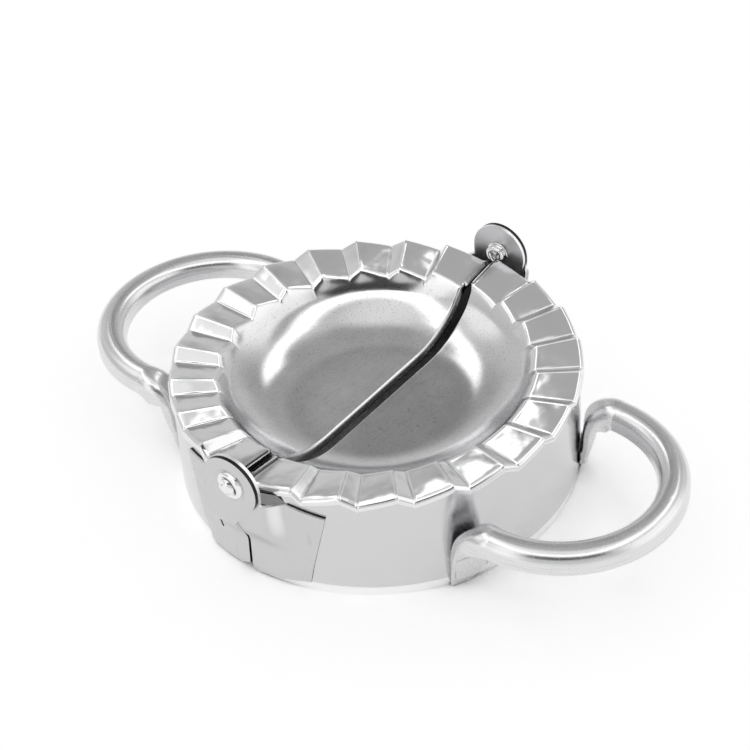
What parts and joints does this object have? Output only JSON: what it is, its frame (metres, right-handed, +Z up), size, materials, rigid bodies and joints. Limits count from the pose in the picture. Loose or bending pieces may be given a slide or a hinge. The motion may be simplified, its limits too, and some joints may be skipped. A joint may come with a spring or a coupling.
{
  "type": "empanada press",
  "caption": "Hinged stainless steel dough press: two pleated half bowls on round cutter skirts fold together by loop handles.",
  "frame": {"origin": "bottom centre: on the table plane, midway between the handles and midway between the hinges", "axes": "+X from handle to handle, towards the half that stays down, +Y along the hinge axis, +Z up out of the bowls"},
  "size_m": [0.1604, 0.1084, 0.0367],
  "materials": {
    "die_steel": "stamped stainless sheet, satin inside the bowl and bright on the pleats",
    "skirt_steel": "bright rolled stainless strip",
    "handle_steel": "polished pressed stainless channel",
    "hinge_steel": "bright stainless sheet, spot-welded",
    "rivet_steel": "polished stainless"
  },
  "bodies": {
    "right_half": {"right_die": "die_steel", "right_skirt": "skirt_steel", "right_handle": "handle_steel", "front_inner_leaf": "hinge_steel", "rear_outer_leaf": "hinge_steel", "rear_rivet": "rivet_steel", "rear_washer": "rivet_steel"},
    "left_half": {"left_die": "die_steel", "left_skirt": "skirt_steel", "left_handle": "handle_steel", "front_outer_leaf": "hinge_steel", "rear_inner_leaf": "hinge_steel", "front_rivet": "rivet_steel", "front_washer": "rivet_steel"}
  },
  "joints": [
    {"name": "fold", "type": "hinge", "parent": "right_half", "child": "left_half", "pos_m": [0, 0, 0.0294], "axis": [0, 1, 0], "range_deg": [0, 180]}
  ]
}
